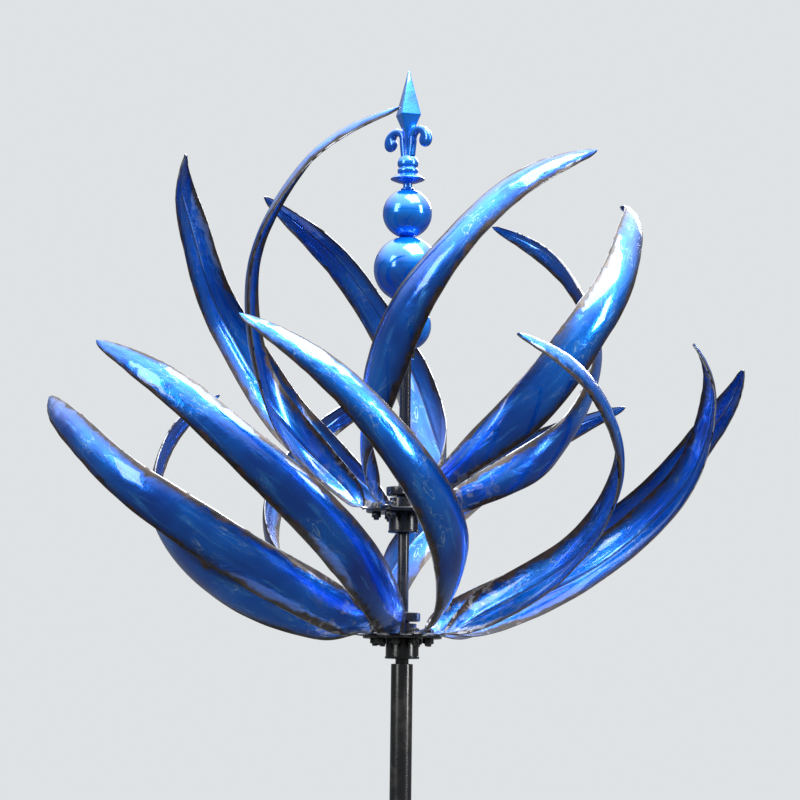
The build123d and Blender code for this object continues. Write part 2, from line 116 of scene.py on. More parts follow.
def new_object(name, vertices, faces, materials, kinds=None, uvs=None):
    """A smooth-shaded mesh object, its vertices given in millimetres."""
    mesh = bpy.data.meshes.new(name)
    mesh.from_pydata([Vector(v) * MM for v in vertices], [], faces)
    for material in materials:
        mesh.materials.append(material)
    if kinds:
        mesh.polygons.foreach_set("material_index", kinds)
    mesh.polygons.foreach_set("use_smooth", [True] * len(faces))
    if uvs:
        layer = mesh.uv_layers.new(name="strip")
        for loop in mesh.loops:
            layer.data[loop.index].uv = uvs[loop.vertex_index]
    piece = bpy.data.objects.new(name, mesh)
    bpy.context.scene.collection.objects.link(piece)
    return piece


def settle(piece, body, slot, *nodes):
    """Name the body a piece rides on and hide the nodes that it stands for. The slot, its finish,
    is not used.
    """
    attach(piece, body)
    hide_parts(*nodes)


def grid_faces(rows, columns, first=0):
    """Quads over a grid whose vertices are numbered row by row from the first."""
    return [(first + i * columns + j, first + i * columns + j + 1,
             first + (i + 1) * columns + j + 1, first + (i + 1) * columns + j)
            for i in range(rows - 1) for j in range(columns - 1)]


def rounded(points, radius, closed=True, steps=3):
    """The outline with its corners rounded; an open one keeps its ends."""
    corners = [Vector(p) for p in points]
    count = len(corners)
    result = []
    for k, corner in enumerate(corners):
        if not closed and k in (0, count - 1):
            result.append(corner)
            continue
        before = corners[k - 1] - corner
        after = corners[(k + 1) % count] - corner
        cut = min(radius, 0.45 * before.length, 0.45 * after.length)
        start = corner + before.normalized() * cut
        end = corner + after.normalized() * cut
        for i in range(steps + 1):
            t = i / steps
            result.append(start * (1 - t) ** 2 + corner * (2 * t * (1 - t)) + end * t * t)
    return result


def turned(outline, segments=96, across_flats=None):
    """Vertices and faces turned from a (radius, height) outline that runs upwards on
    its outside. It closes on the axis where its ends have no radius, and on itself
    otherwise. Hexagon flats cut whatever reaches past them."""
    vertices, rows = [], []
    for r, z in outline:
        is_point = r < ON_AXIS
        rows.append((len(vertices), is_point))
        for k in range(1 if is_point else segments):
            angle = 2 * pi * k / segments
            reach = r
            if across_flats:
                off_flat = (angle + pi / 6) % (pi / 3) - pi / 6
                reach = min(r, across_flats / 2 / cos(off_flat))
            vertices.append((reach * cos(angle), reach * sin(angle), z))
    pairs = list(zip(rows, rows[1:]))
    if not (rows[0][1] or rows[-1][1]):
        pairs.append((rows[-1], rows[0]))
    faces = []
    for (a, a_point), (b, b_point) in pairs:
        for k in range(segments):
            n = (k + 1) % segments
            if a_point:
                faces.append((a, b + n, b + k))
            elif b_point:
                faces.append((a + k, a + n, b))
            else:
                faces.append((a + k, a + n, b + n, b + k))
    return vertices, faces


def merged(placed_shapes):
    """One shape, its vertices and faces, made of (place, shape) pairs."""
    all_vertices, all_faces = [], []
    for place, (vertices, faces) in placed_shapes:
        first = len(all_vertices)
        all_vertices += [place @ Vector(v) for v in vertices]
        all_faces += [tuple(first + i for i in face) for face in faces]
    return all_vertices, all_faces


def gathered(name, shape, places, material, crisp=40):
    """One object made of a shape's copies at the places. Edges that turn by more than
    crisp degrees are shaded sharp."""
    vertices, faces = merged([(place, shape) for place in places])
    piece = new_object(name, vertices, faces, [material])
    piece.data.set_sharp_from_angle(angle=radians(crisp))
    return piece


def drilled(piece, radius, places, length):
    """Cut round holes through a piece, each along its place's own Z axis."""
    half = length / 2
    outline = [(0, -half), (radius, -half), (radius, half), (0, half)]
    cutter = gathered("cutter", turned(outline, DRILL_SIDES), places, piece.data.materials[0])
    cut = piece.modifiers.new("holes", "BOOLEAN")
    cut.object = cutter
    cut.solver = "EXACT"
    bpy.context.view_layer.update()
    result = piece.evaluated_get(bpy.context.evaluated_depsgraph_get())
    mesh = bpy.data.meshes.new_from_object(result)
    piece.modifiers.clear()
    piece.data = mesh
    bpy.data.objects.remove(cutter)
    return piece


def at(z=0.0, azimuth=0.0, reach=0.0):
    """The place at a height, turned to an azimuth about the pole and moved out from it."""
    return (Matrix.Translation((0, 0, z)) @ Matrix.Rotation(radians(azimuth), 4, "Z")
            @ Matrix.Translation((reach, 0, 0)))


def sideways(z, azimuth):
    """Turns what stands on the axis so that it points out at azimuth."""
    return at(z, azimuth) @ Matrix.Rotation(pi / 2, 4, "Y")


def petal_azimuth(wheel, number):
    return wheel["first_azimuth"] + wheel["hand"] * number * 360 / len(wheel["settings"])


def bolt_places(wheel):
    count = len(wheel["settings"])
    return [at(wheel["z"], wheel["first_azimuth"] + k * 360 / count, BOLT_CIRCLE_R)
            for k in range(count)]


# --- node trees ------------------------------------------------------------------
class Finish:
    """Short calls that build one material's node tree around its Principled shader."""

    def __init__(self, name):
        self.material = bpy.data.materials.new(name)
        self.material.use_nodes = True
        self.tree = self.material.node_tree
        self.shader = self.tree.nodes["Principled BSDF"]

    def add(self, kind, **settings):
        """A new node of the kind, with its settings made."""
        node = self.tree.nodes.new(kind)
        for key, value in settings.items():
            setattr(node, key, value)
        return node

    def put(self, socket, value):
        """Feed a socket from another node's output, or set it to a constant."""
        if isinstance(value, bpy.types.NodeSocket):
            self.tree.links.new(value, socket)
        else:
            socket.default_value = value

    def math(self, operation, *values):
        node = self.add("ShaderNodeMath", operation=operation)
        for socket, value in zip(node.inputs, values):
            self.put(socket, value)
        return node.outputs[0]

    def scaled(self, value, factor, offset=0.0):
        """value * factor + offset."""
        return self.math("MULTIPLY_ADD", value, factor, offset)

    def between(self, value, low, high):
        """0 at low and 1 at high, with a smooth change from one to the other."""
        node = self.add("ShaderNodeMapRange", interpolation_type="SMOOTHSTEP")
        self.put(node.inputs["Value"], value)
        self.put(node.inputs["From Min"], low)
        self.put(node.inputs["From Max"], high)
        return node.outputs[0]

    def noise(self, scale, detail=3.0, stretch=(1, 1, 1), distortion=0.0, coordinate=None):
        """Noise from 0 to 1, over the object's own coordinates unless others are given."""
        mapping = self.add("ShaderNodeMapping")
        self.put(mapping.inputs["Scale"], stretch)
        self.put(mapping.inputs["Vector"],
                 coordinate or self.add("ShaderNodeTexCoord").outputs["Object"])
        node = self.add("ShaderNodeTexNoise")
        self.put(node.inputs["Vector"], mapping.outputs[0])
        self.put(node.inputs["Scale"], scale)
        self.put(node.inputs["Detail"], detail)
        self.put(node.inputs["Distortion"], distortion)
        return node.outputs["Fac"]

    def mix(self, share, a, b):
        """Colour a at share 0 and b at share 1, on the mix node's colour sockets."""
        node = self.add("ShaderNodeMix", data_type="RGBA")
        self.put(node.inputs[0], share)
        self.put(node.inputs[6], a)
        self.put(node.inputs[7], b)
        return node.outputs[2]

    def bump(self, height, strength, distance):
        node = self.add("ShaderNodeBump")
        self.put(node.inputs["Height"], height)
        self.put(node.inputs["Strength"], strength)
        self.put(node.inputs["Distance"], distance)
        return node.outputs[0]

    def set(self, **values):
        """Feed the shader's sockets, named with _ for their spaces."""
        for key, value in values.items():
            self.put(self.shader.inputs[key.replace("_", " ")], value)


# --- materials, their colours as linear red, green, blue and alpha ---------------
DEEP_BLUE = (0.0, 0.070, 0.48, 1)
CANDY_BLUE = (0.0, 0.215, 0.95, 1)
# Painted reflection: a pale streak colour that stands in for reflections running along the petals.
PAINTED_REFLECTION_BLUE = (0.08, 0.42, 1.0, 1)
# Painted shade: a navy that darkens the petals towards their long edges.
EDGE_SHADE_NAVY = (0.0, 0.014, 0.085, 1)
WRINKLE_WHITE = (0.45, 0.68, 1.0, 1)
BURNT = (0.010, 0.007, 0.006, 1)
SCORCHED_BROWN = (0.040, 0.020, 0.013, 1)
BARE_STEEL = (0.62, 0.62, 0.64, 1)
SHEARED_STEEL = (0.30, 0.31, 0.34, 1)
ENAMEL_BLUE = (0.0, 0.13, 0.70, 1)
ENAMEL_BRIGHT = (0.0, 0.24, 0.95, 1)
ENAMEL_PINHOLE = (0.002, 0.02, 0.14, 1)
POWDER_BLACK = (0.0065, 0.0065, 0.0075, 1)
POWDER_RUBBED = (0.028, 0.026, 0.025, 1)
DUST = (0.055, 0.050, 0.046, 1)
GROUND_STEEL = (0.50, 0.50, 0.51, 1)
STAINED_STEEL = (0.22, 0.20, 0.18, 1)
STAKE_BLACK = (0.010, 0.010, 0.011, 1)
SCRAPED_STEEL = (0.16, 0.15, 0.14, 1)
EARTH = (0.070, 0.045, 0.028, 1)
FLOOR_GREY = (0.22, 0.22, 0.218, 1)
FLOOR_WORN = (0.25, 0.25, 0.248, 1)


def lacquer_blue(f, strip, gloss_streaks_and_painted_reflection, from_centre):
    """Cloudy candy blue with painted reflection streaks, wrinkled along the petal, and painted
    shade darkening it towards the long edges.
    """
    clouds = f.noise(14.0, 2.0)
    blue = f.mix(f.between(clouds, 0.32, 0.66), DEEP_BLUE, CANDY_BLUE)
    # Painted reflection: pale streaks mixed into the blue along the petal.
    blue = f.mix(f.scaled(f.between(gloss_streaks_and_painted_reflection, 0.54, 0.72), 0.50), blue, PAINTED_REFLECTION_BLUE)

    folds = f.noise(1.0, 3.0, (3.0, 13.0, 1.0), 1.6, strip)
    off_fold = f.math("ABSOLUTE", f.scaled(folds, 1.0, -0.5))
    wrinkled = f.between(clouds, 0.46, 0.56)
    wrinkles = f.math("MULTIPLY", f.between(off_fold, 0.010, 0.002), wrinkled)
    blue = f.mix(f.scaled(wrinkles, 0.75), blue, WRINKLE_WHITE)

    # Painted shade: darker towards the long edges, made uneven by the clouds.
    edge_shade = f.math("ADD", from_centre, f.scaled(clouds, 0.70, -0.35))
    return f.mix(f.scaled(f.between(edge_shade, 0.40, 0.95), 0.85), blue, EDGE_SHADE_NAVY)


def scorch_and_crease_shade_share(f, from_centre, along, paints_crease_shade):
    """Ragged scorched borders, wider at the root, and on the hollow face painted shade in the
    centre crease.
    """
    ragged = f.noise(45.0, 6.0, distortion=0.7)
    inwards = f.math("ADD", from_centre, f.scaled(ragged, 0.80, -0.40))
    inwards = f.math("ADD", inwards, f.scaled(f.between(along, 0.32, 0.02), 0.18))
    scorched_and_crease_shade = f.between(inwards, 0.74, 0.92)
    if paints_crease_shade:
        # Painted shade: the hollow face's centre crease is darkened with the soot colours.
        crease_shade = f.scaled(f.between(from_centre, 0.055, 0.015), 0.8)
        scorched_and_crease_shade = f.math("MAXIMUM", scorched_and_crease_shade, crease_shade)
    return scorched_and_crease_shade


def petal_lacquer(name, paints_crease_shade):
    """Candy blue over steel: streaky gloss with painted reflection streaks, painted shade
    towards the long edges, scorched edges, bare patches at the root and, on the hollow face,
    painted shade in the centre crease, drawn in the soot colours. The strip map gives the
    share across the petal and the share along it."""
    f = Finish(name)
    strip = f.add("ShaderNodeUVMap", uv_map="strip").outputs[0]
    axes = f.add("ShaderNodeSeparateXYZ")
    f.put(axes.inputs[0], strip)
    from_centre = f.math("ABSOLUTE", f.scaled(axes.outputs["X"], 2.0, -1.0))
    along = axes.outputs["Y"]
    # The streak noise varies the gloss and also places the painted reflection streaks.
    gloss_streaks_and_painted_reflection = f.noise(1.0, 4.0, (7.0, 11.0, 1.0), 0.7, strip)

    blue = lacquer_blue(f, strip, gloss_streaks_and_painted_reflection, from_centre)
    scorched_and_crease_shade = scorch_and_crease_shade_share(f, from_centre, along, paints_crease_shade)
    # These soot colours also paint the shade in the hollow face's crease.
    soot = f.mix(f.between(f.noise(110.0), 0.42, 0.62), BURNT, SCORCHED_BROWN)
    colour = f.mix(scorched_and_crease_shade, blue, soot)
    blotch = f.noise(95.0, 6.0, distortion=1.2)
    bare = f.math("MULTIPLY", f.between(blotch, 0.55, 0.62), f.between(along, 0.26, 0.05))
    colour = f.mix(f.scaled(bare, 0.55), colour, BARE_STEEL)

    runs = f.noise(1.0, 3.0, (3.5, 26.0, 1.0), 0.6, strip)
    relief = f.math("ADD", f.scaled(f.noise(170.0, 2.0), 0.6), f.scaled(runs, 2.6))
    f.set(Base_Color=colour,
          Metallic=f.scaled(scorched_and_crease_shade, -0.55, 0.75),
          Roughness=f.math("ADD", f.scaled(gloss_streaks_and_painted_reflection, 0.22, 0.13), f.scaled(scorched_and_crease_shade, 0.22)),
          Coat_Weight=f.scaled(scorched_and_crease_shade, -0.70, 0.85), Coat_Roughness=0.05, Coat_IOR=1.62,
          Normal=f.bump(relief, 0.30, 0.0009))
    return f.material


def cut_edge():
    """The sheet's sheared edge: bright steel under worn lacquer and soot."""
    f = Finish("cut_edge")
    wear = f.noise(70.0, 5.0, distortion=0.8)
    f.set(Base_Color=f.mix(f.between(wear, 0.50, 0.66), SHEARED_STEEL, BURNT),
          Metallic=0.9,
          Roughness=f.scaled(wear, 0.30, 0.15),
          Normal=f.bump(f.noise(400.0, 2.0), 0.3, 0.0003))
    return f.material


def ornament_enamel():
    """Glossy blue enamel, a little cloudy and uneven, with pinholes."""
    f = Finish("ornament_enamel")
    clouds = f.noise(34.0, 3.0, distortion=0.3)
    colour = f.mix(f.between(clouds, 0.36, 0.66), ENAMEL_BLUE, ENAMEL_BRIGHT)
    pinholes = f.scaled(f.between(f.noise(420.0, 2.0), 0.70, 0.76), 0.6)
    f.set(Base_Color=f.mix(pinholes, colour, ENAMEL_PINHOLE),
          Metallic=0.55,
          Roughness=f.scaled(clouds, 0.20, 0.10),
          Coat_Weight=0.9, Coat_Roughness=0.03, Coat_IOR=1.7,
          Normal=f.bump(f.noise(120.0), 0.14, 0.0007))
    return f.material


def black_coat():
    """Black powder coat: fine orange peel, rubbed greyer in places, some dust."""
    f = Finish("black_coat")
    rubbed = f.noise(60.0, 5.0, distortion=0.7)
    lines = f.noise(30.0, 3.0, (9.0, 9.0, 0.6))
    colour = f.mix(f.between(rubbed, 0.50, 0.72), POWDER_BLACK, POWDER_RUBBED)
    dusty = f.scaled(f.between(lines, 0.60, 0.75), 0.5)
    f.set(Base_Color=f.mix(dusty, colour, DUST),
          Roughness=f.math("ADD", f.scaled(rubbed, 0.25, 0.10), f.scaled(lines, 0.12)),
          Coat_Weight=0.5, Coat_Roughness=0.12,
          Normal=f.bump(f.math("ADD", f.noise(700.0, 2.0), rubbed), 0.20, 0.0004))
    return f.material


def ground_steel():
    """Bright ground steel with fine turning marks and light staining."""
    f = Finish("ground_steel")
    marks = f.noise(90.0, 2.0, (1.0, 1.0, 14.0))
    stained = f.between(f.noise(150.0, 4.0), 0.55, 0.75)
    f.set(Base_Color=f.mix(stained, GROUND_STEEL, STAINED_STEEL),
          Metallic=1.0,
          Roughness=f.scaled(marks, 0.28, 0.12),
          Normal=f.bump(marks, 0.15, 0.0002))
    return f.material


def soil_worn_coat():
    """The stake's black coat, scraped to dull steel and stained by earth."""
    f = Finish("soil_worn_coat")
    scrape = f.noise(110.0, 5.0, (1.0, 1.0, 0.25), 0.9)
    earth = f.noise(40.0, 4.0)
    colour = f.mix(f.between(scrape, 0.56, 0.64), STAKE_BLACK, SCRAPED_STEEL)
    stained = f.scaled(f.between(earth, 0.52, 0.70), 0.6)
    f.set(Base_Color=f.mix(stained, colour, EARTH),
          Metallic=0.25,
          Roughness=f.scaled(earth, 0.4, 0.2),
          Normal=f.bump(scrape, 0.35, 0.0005))
    return f.material


def pale_floor():
    """Plain matt floor, barely uneven. The strong lights make its mid grey look pale."""
    f = Finish("pale_floor")
    worn = f.noise(3.0, 5.0)
    f.set(Base_Color=f.mix(worn, FLOOR_GREY, FLOOR_WORN),
          Roughness=f.scaled(worn, 0.2, 0.55))
    return f.material


LACQUER = petal_lacquer("petal_lacquer", paints_crease_shade=False)
# The hollow face's material also paints shade into its centre crease.
HOLLOW_LACQUER_CREASE_SHADED = petal_lacquer("petal_lacquer_hollow_crease_shade", paints_crease_shade=True)
EDGE = cut_edge()
ENAMEL = ornament_enamel()
BLACK = black_coat()
STEEL = ground_steel()
STAKE = soil_worn_coat()


# --- petals ----------------------------------------------------------------------
PETAL_STEPS = 150            # along the curved part
TAB_STEPS = 14
TAB_CROWDING = 1.6           # above 1, the tab's rows stand closer at its round end
ACROSS_STEPS = 20
LEAST_TAB_HALF = 0.4         # half widths where the tab and the blade end
LEAST_TIP_HALF = 0.3
TIP_ROUND_SHARE = 0.035      # the last of the petal, where the tip is rounded
CREASE_HALF_SHARE = 0.10     # half width of the inner face's centre crease
CREASE_DEPTH = 0.95
EDGE_ROUND = 0.35            # how far the rim's middle stands out
EDGE_WAVER = 0.5             # hand-cut waviness of the edges
WAVER_WAVES = 26
WAVER_FALL = 6               # the power by which the waver fades inwards
WAVER_LEAST_HALF = 4.0       # where the petal is narrower, the waver shrinks with it
BEATEN_DEPTH = 0.42          # ripples across the outer half
BEATEN_RIPPLES = 46.0
BEATEN_FROM, BEATEN_OVER = 0.35, 0.5
BUCKLE = 0.6                 # slow unevenness of the whole sheet
BUCKLE_WAVES = 5
PETAL_CRISP = 38
BOLT_HOLE_DEPTH = 4


def smooth(at_shares, values, u):
    """Smooth curve through values given at the shares, read at share u."""
    last = len(at_shares) - 1
    gaps = [at_shares[i + 1] - at_shares[i] for i in range(last)]
    climbs = [(values[i + 1] - values[i]) / gaps[i] for i in range(last)]
    slopes = [0.0] * (last + 1)
    for i in range(1, last):
        slopes[i] = (climbs[i - 1] * gaps[i] + climbs[i] * gaps[i - 1]) / (gaps[i - 1] + gaps[i])
    slopes[0] = 1.5 * climbs[0] - 0.5 * slopes[1]
    slopes[last] = 1.5 * climbs[last - 1] - 0.5 * slopes[last - 1]
    i = min(sum(1 for a in at_shares[1:] if u >= a), last - 1)
    q = (u - at_shares[i]) / gaps[i]
    ends = values[i] * (1 + 2 * q) * (1 - q) ** 2 + values[i + 1] * q * q * (3 - 2 * q)
    return ends + gaps[i] * q * (1 - q) * (slopes[i] * (1 - q) - slopes[i + 1] * q)


def ease(share):
    """0 below share 0 and 1 above share 1, with a smooth change between them."""
    share = min(max(share, 0.0), 1.0)
    return share * share * (3 - 2 * share)


def petal_centre(wheel, u):
    """Middle of the sheet at share u of the petal, its bolt on the +X side."""
    reach = smooth(PATH_AT, wheel["reach"], u)
    sweep = radians(smooth(PATH_AT, wheel["sweep"], u))
    return Vector((reach * cos(sweep), reach * sin(sweep), smooth(PATH_AT, wheel["rise"], u)))


def tab_stations(wheel):
    """(share, centre, across, hollow side, half width, depth) along the flat tab."""
    start = BOLT_CIRCLE_R - TAB_HALF_WIDTH
    end = wheel["reach"][0]
    for i in range(TAB_STEPS):
        r = start + (end - start) * (i / TAB_STEPS) ** TAB_CROWDING
        inward = max(BOLT_CIRCLE_R - r, 0.0)
        half = max(sqrt(max(TAB_HALF_WIDTH ** 2 - inward ** 2, 0.0)), LEAST_TAB_HALF)
        yield (0.0, Vector((r, 0, wheel["rise"][0])), Vector((0, 1, 0)), Vector((0, 0, 1)),
               half, 0.0)


def blade_stations(wheel):
    """The same for the curved blade, its frame carried along without twist but the roll."""
    across = Vector((0, 1, 0))
    for step in range(PETAL_STEPS + 1):
        u = step / PETAL_STEPS
        before = petal_centre(wheel, max(u - 1 / PETAL_STEPS, 0.0))
        after = petal_centre(wheel, min(u + 1 / PETAL_STEPS, 1.0))
        along = (after - before).normalized()
        across = (across - along * across.dot(along)).normalized()
        roll = radians(smooth(ROLL_AT, wheel["roll"], u))
        up = along.cross(across)
        half = smooth(WIDTH_AT, wheel["half_width"], u)
        depth = wheel["trough"] * half * ease(u / TROUGH_SHARE)
        beyond = max(u - 1 + TIP_ROUND_SHARE, 0.0) / TIP_ROUND_SHARE
        yield (u, petal_centre(wheel, u), across * cos(roll) + up * sin(roll),
               up * cos(roll) - across * sin(roll),
               max(half * sqrt(max(1 - beyond ** 2, 0.0)), LEAST_TIP_HALF), depth)


def petal_surface(wheel, number):
    """Rows of (outer point, inner point, strip coordinate), and the rim points, two to
    a row. The petal turns by its own swing, lift and lean (degrees) about its bolt."""
    swing, lift, lean = wheel["settings"][number]
    hand = wheel["hand"]
    bolt = Vector((BOLT_CIRCLE_R, 0, 0))
    place = (at(wheel["z"], petal_azimuth(wheel, number), BOLT_CIRCLE_R)
             @ Matrix.Rotation(radians(hand * swing), 4, "Z"))
    seed = Vector((7.3 * number, 11.9 * hand, 3.1 * number))
    rows, rims = [], []
    for u, centre, across, hollow, half, depth in [*tab_stations(wheel), *blade_stations(wheel)]:
        bend = ease(u / BEND_SHARE)
        setting = (Matrix.Rotation(-radians(lift * bend), 4, "Y")
                   @ Matrix.Rotation(radians(lean * bend), 4, "X"))
        formed = ease(u / TROUGH_SHARE)
        beaten = BEATEN_DEPTH * ease((u - BEATEN_FROM) / BEATEN_OVER)

        def point(side, level):
            """Across by a share of the half width and level millimetres off the hollow side."""
            p = setting @ (centre + across * (side * half) - hollow * level - bolt)
            return place @ Vector((p.x, hand * p.y, p.z))

        row = []
        for j in range(ACROSS_STEPS + 1):
            side = 2 * j / ACROSS_STEPS - 1
            waver = noise.noise(Vector((side, WAVER_WAVES * u, 0)) + seed)
            waver *= EDGE_WAVER * formed * abs(side) ** WAVER_FALL / max(half, WAVER_LEAST_HALF)
            spread = side * (1 + waver)
            ripple = noise.noise(Vector((1.3 * side, BEATEN_RIPPLES * u, 0)) + seed)
            buckle = noise.noise(Vector((0.8 * side, BUCKLE_WAVES * u, 4)) + seed)
            level = (1 - side * side) * depth + formed * (beaten * ripple + BUCKLE * buckle)
            crease = CREASE_DEPTH * formed * max(1 - abs(side) / CREASE_HALF_SHARE, 0.0)
            row.append((point(spread, level + SHEET / 2),
                        point(spread, level - SHEET / 2 + crease), (j / ACROSS_STEPS, u)))
            if abs(side) == 1:
                rims.append(point(spread * (1 + EDGE_ROUND / half), level))
        rows.append(row)
    return rows, rims


def petal_faces(row_count):
    """Faces and their materials: the outer side, the inner side, then the edge round
    both, which goes over the rim points."""
    columns = ACROSS_STEPS + 1
    inner_first = row_count * columns
    rim_first = 2 * inner_first
    faces = grid_faces(row_count, columns)
    faces += [face[::-1] for face in grid_faces(row_count, columns, inner_first)]
    kinds = [0] * (len(faces) // 2) + [1] * (len(faces) // 2)
    for i in range(row_count - 1):
        for edge, column in ((0, 0), (1, ACROSS_STEPS)):
            a, b = i * columns + column, (i + 1) * columns + column
            m, n = rim_first + 2 * i + edge, rim_first + 2 * (i + 1) + edge
            quads = [(a, b, n, m), (m, n, inner_first + b, inner_first + a)]
            faces += [quad[::-1] for quad in quads] if edge else quads
            kinds += [2, 2]
    for row in (0, row_count - 1):
        start = row * columns
        loop = [start + j for j in range(columns)] + [rim_first + 2 * row + 1]
        loop += [inner_first + start + j for j in reversed(range(columns))]
        loop += [rim_first + 2 * row]
        faces.append(tuple(loop if row else loop[::-1]))
        kinds.append(2)
    return faces, kinds


def petal(wheel, number):
    """One petal: both faces as fine strips, joined round the rim by a rounded edge."""
    rows, rims = petal_surface(wheel, number)
    cells = [cell for row in rows for cell in row]
    vertices = [cell[0] for cell in cells] + [cell[1] for cell in cells] + rims
    strip = [cell[2] for cell in cells]
    rim_strip = [(float(k % 2), rows[k // 2][0][2][1]) for k in range(len(rims))]
    faces, kinds = petal_faces(len(rows))
    if wheel["hand"] > 0:
        faces = [face[::-1] for face in faces]

    name = f"{wheel['name']}_petal_{number + 1}"
    piece = new_object(f"{name}_sheet", vertices, faces, [LACQUER, HOLLOW_LACQUER_CREASE_SHADED, EDGE], kinds,
                       strip + strip + rim_strip)
    piece.data.set_sharp_from_angle(angle=radians(PETAL_CRISP))
    hole = at(wheel["z"] + wheel["rise"][0], petal_azimuth(wheel, number), BOLT_CIRCLE_R)
    drilled(piece, BOLT_HOLE_R, [hole], BOLT_HOLE_DEPTH)
    settle(piece, f"{wheel['name']}_wheel", "petal_lacquer", name)


# --- hubs ------------------------------------------------------------------------
PLATE = 3.0
HOUSING_BOTTOM, HOUSING_TOP = -19.0, 11.5
HOUSING_NECK_R = 12.3
HOUSING_BORE_R = 7.6
BEARING_R = 9.5
BEARING_WIDTH = 5.0
POCKET_RECESS = 2.6
COLLAR_R = 15.5
COLLAR_BOTTOM, COLLAR_TOP = 13.5, 21.0
COLLAR_BOSS_R = 6.3
GRUB_SCREW_R = 2.0
LIP_OVERHANG = 0.6           # the housing's bottom lip
LIP, LIP_SLOPE = 1.8, 0.3
PLATE_ROUND, HOUSING_ROUND, COLLAR_ROUND = 0.7, 0.5, 0.8


def hub(wheel):
    """Plate, bearing housing and stop collar, with rounded rims. Heights in the outlines
    are measured from the plate's mid-thickness."""
    name, z, housing_r = wheel["name"], wheel["z"], wheel["housing_r"]
    body = f"{name}_wheel"
    plate_outline = [(HOUSING_NECK_R, -PLATE / 2), (wheel["plate_r"], -PLATE / 2),
                     (wheel["plate_r"], PLATE / 2), (HOUSING_NECK_R, PLATE / 2)]
    plate_shape = turned(rounded(plate_outline, PLATE_ROUND), 128)
    plate = gathered(f"{name}_plate", plate_shape, [at(z)], BLACK)
    drilled(plate, BOLT_HOLE_R, bolt_places(wheel), 2 * PLATE)
    settle(plate, body, "black_coat", f"{name}_hub_plate")

    low = HOUSING_BOTTOM + POCKET_RECESS
    high = HOUSING_TOP - POCKET_RECESS - BEARING_WIDTH
    lip_r = housing_r + LIP_OVERHANG
    lip_top = HOUSING_BOTTOM + LIP
    housing_outline = [
        (BEARING_R, HOUSING_BOTTOM), (lip_r, HOUSING_BOTTOM), (lip_r, lip_top),
        (housing_r, lip_top + LIP_SLOPE), (housing_r, -PLATE / 2), (HOUSING_NECK_R, -PLATE / 2),
        (HOUSING_NECK_R, HOUSING_TOP), (BEARING_R, HOUSING_TOP), (BEARING_R, high),
        (HOUSING_BORE_R, high), (HOUSING_BORE_R, low + BEARING_WIDTH),
        (BEARING_R, low + BEARING_WIDTH)]
    housing_shape = turned(rounded(housing_outline, HOUSING_ROUND))
    housing = gathered(f"{name}_housing", housing_shape, [at(z)], BLACK)
    settle(housing, body, "black_coat", f"{name}_hub_housing")

    boss_bottom = high + BEARING_WIDTH
    collar_outline = [
        (ROD_R, boss_bottom), (COLLAR_BOSS_R, boss_bottom), (COLLAR_BOSS_R, COLLAR_BOTTOM),
        (COLLAR_R, COLLAR_BOTTOM), (COLLAR_R, COLLAR_TOP), (ROD_R, COLLAR_TOP)]
    collar_shape = turned(rounded(collar_outline, COLLAR_ROUND))
    collar = gathered(f"{name}_collar", collar_shape, [at(z)], BLACK)
    screw_side = sideways(z + (COLLAR_BOTTOM + COLLAR_TOP) / 2, wheel["first_azimuth"] + 90)
    drilled(collar, GRUB_SCREW_R, [screw_side @ at(COLLAR_R)], 2 * (COLLAR_R - ROD_R - 1))
    settle(collar, "pole", "black_coat", f"{name}_stop_collar")


# --- fastenings ------------------------------------------------------------------
BOLT_R = 2.5
BOLT_ACROSS_FLATS = 8.0
BOLT_HEAD = 3.5
WASHER_R = 4.8
WASHER = 0.8
NUT = 4.4
BOLT_TAIL = 2.2
THREAD_PITCH = 0.8
THREAD_DEPTH = 0.3
FLAT_CORNER = 1.155          # a hexagon's corner radius over its flat radius
CHAMFER_SHARE = 0.95         # the chamfer's radius over the flat radius
CHAMFER = 0.6
HEX_CRISP = 28


def thread_outline(radius, bottom, top):
    """Ridges of a thread from bottom to top."""
    ridges = max(int((top - bottom) / THREAD_PITCH), 1)
    pitch = (top - bottom) / ridges
    outline = []
    for k in range(ridges):
        z = bottom + k * pitch
        outline.append((radius - THREAD_DEPTH, z))
        outline += [(radius, z + share * pitch) for share in (0.4, 0.6)]
    return outline


